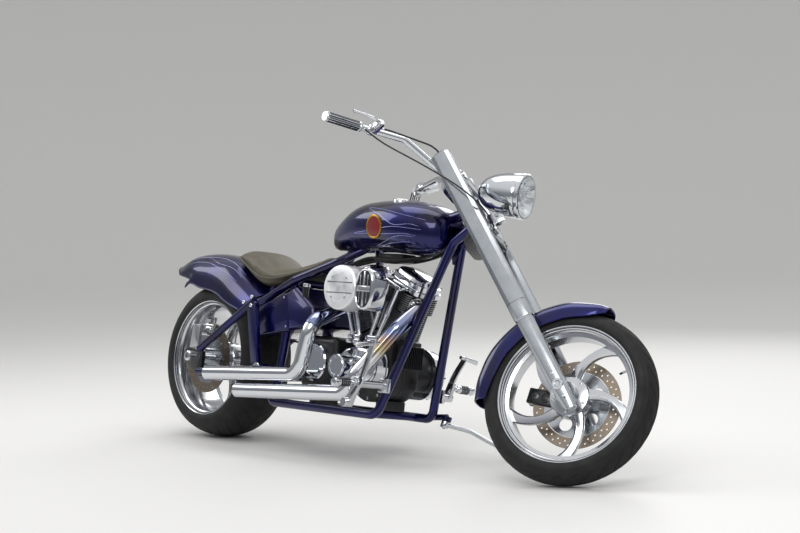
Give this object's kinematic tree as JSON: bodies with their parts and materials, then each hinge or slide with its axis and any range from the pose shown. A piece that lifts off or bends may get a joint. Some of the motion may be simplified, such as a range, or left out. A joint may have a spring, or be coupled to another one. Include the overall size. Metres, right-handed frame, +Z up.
{
  "type": "chopper motorcycle",
  "caption": "Chopper motorcycle with a raked fork, air-cooled V-twin, teardrop tank, swept-spoke wheels and a low seat, parked on its side stand.",
  "frame": {"origin": "centre of the bounding box at ground level, with the motorcycle resting on its tyres and side stand", "axes": "+X ahead, +Y to the rider's left, +Z up; the motorcycle leans to its left on the stand and the bars are turned to the left stop"},
  "size_m": [2.6887, 0.7559, 1.3412],
  "materials": {
    "belt_rubber": "matt",
    "black_engine": "satin black over castings",
    "black_paint": "gloss black",
    "blue_paint": "deep blue pearl under clear coat",
    "brake_disc": "ground",
    "brushed_aluminium": "satin",
    "chrome": "bright chrome",
    "lamp_glass": "clear",
    "polished_aluminium": "polished",
    "seat_leather": "satin",
    "tail_lens": "translucent red",
    "tyre_rubber": "matt"
  },
  "bodies": {
    "root": {"air_cleaner": "chrome", "cam_cover": "chrome", "carburettor": "black_engine", "crankcase": "black_engine", "drive_belt": "belt_rubber", "frame": "blue_paint", "front_cylinder": "black_engine", "front_exhaust": "chrome", "front_pushrods": "chrome", "front_rocker_box": "chrome", "fuel_tank": "blue_paint", "gearbox": "black_engine", "left_control": "polished_aluminium", "oil_tank": "blue_paint", "primary_cover": "chrome", "primary_spacer": "black_engine", "rear_axle": "chrome", "rear_caliper": "polished_aluminium", "rear_cylinder": "black_engine", "rear_exhaust": "chrome", "rear_fender": "blue_paint", "rear_pushrods": "chrome", "rear_rocker_box": "chrome", "regulator": "black_engine", "right_control": "polished_aluminium", "seat": "seat_leather", "swingarm": "blue_paint", "tail_lamp": "tail_lens"},
    "steering": {"front_axle": "chrome", "front_caliper": "black_paint", "front_fender": "blue_paint", "handlebar": "chrome", "headlamp": "chrome", "headlamp_lens": "lamp_glass", "lamp_bracket": "polished_aluminium", "left_fork_leg": "brushed_aluminium", "left_grip": "chrome", "left_lever": "chrome", "lower_tree": "black_paint", "right_fork_leg": "brushed_aluminium", "right_grip": "chrome", "right_lever": "chrome", "upper_tree": "polished_aluminium"},
    "front_wheel": {"front_disc": "brake_disc", "front_rim": "polished_aluminium", "front_tyre": "tyre_rubber"},
    "rear_wheel": {"rear_disc": "brake_disc", "rear_pulley": "polished_aluminium", "rear_rim": "polished_aluminium", "rear_tyre": "tyre_rubber"},
    "side_stand": {"side_stand": "chrome"}
  },
  "joints": [
    {"name": "steering", "type": "hinge", "parent": "root", "child": "steering", "pos_m": [1.01105, 0.02419, 0.27213], "axis": [-0.6195, 0.1215, 0.7756], "range_deg": [-59, 0]},
    {"name": "front_wheel_spin", "type": "hinge", "parent": "steering", "child": "front_wheel", "pos_m": [1.04521, 0.05269, 0.29495], "axis": [-0.3866, 0.8127, -0.436], "continuous": true},
    {"name": "rear_wheel_spin", "type": "hinge", "parent": "root", "child": "rear_wheel", "pos_m": [-0.95262, 0.03182, 0.32082], "axis": [0, 0.988, -0.1547], "continuous": true},
    {"name": "side_stand_fold", "type": "hinge", "parent": "root", "child": "side_stand", "pos_m": [0.24115, 0.17531, 0.12543], "axis": [0.1074, 0.3966, 0.9117], "range_deg": [0, 130]}
  ]
}
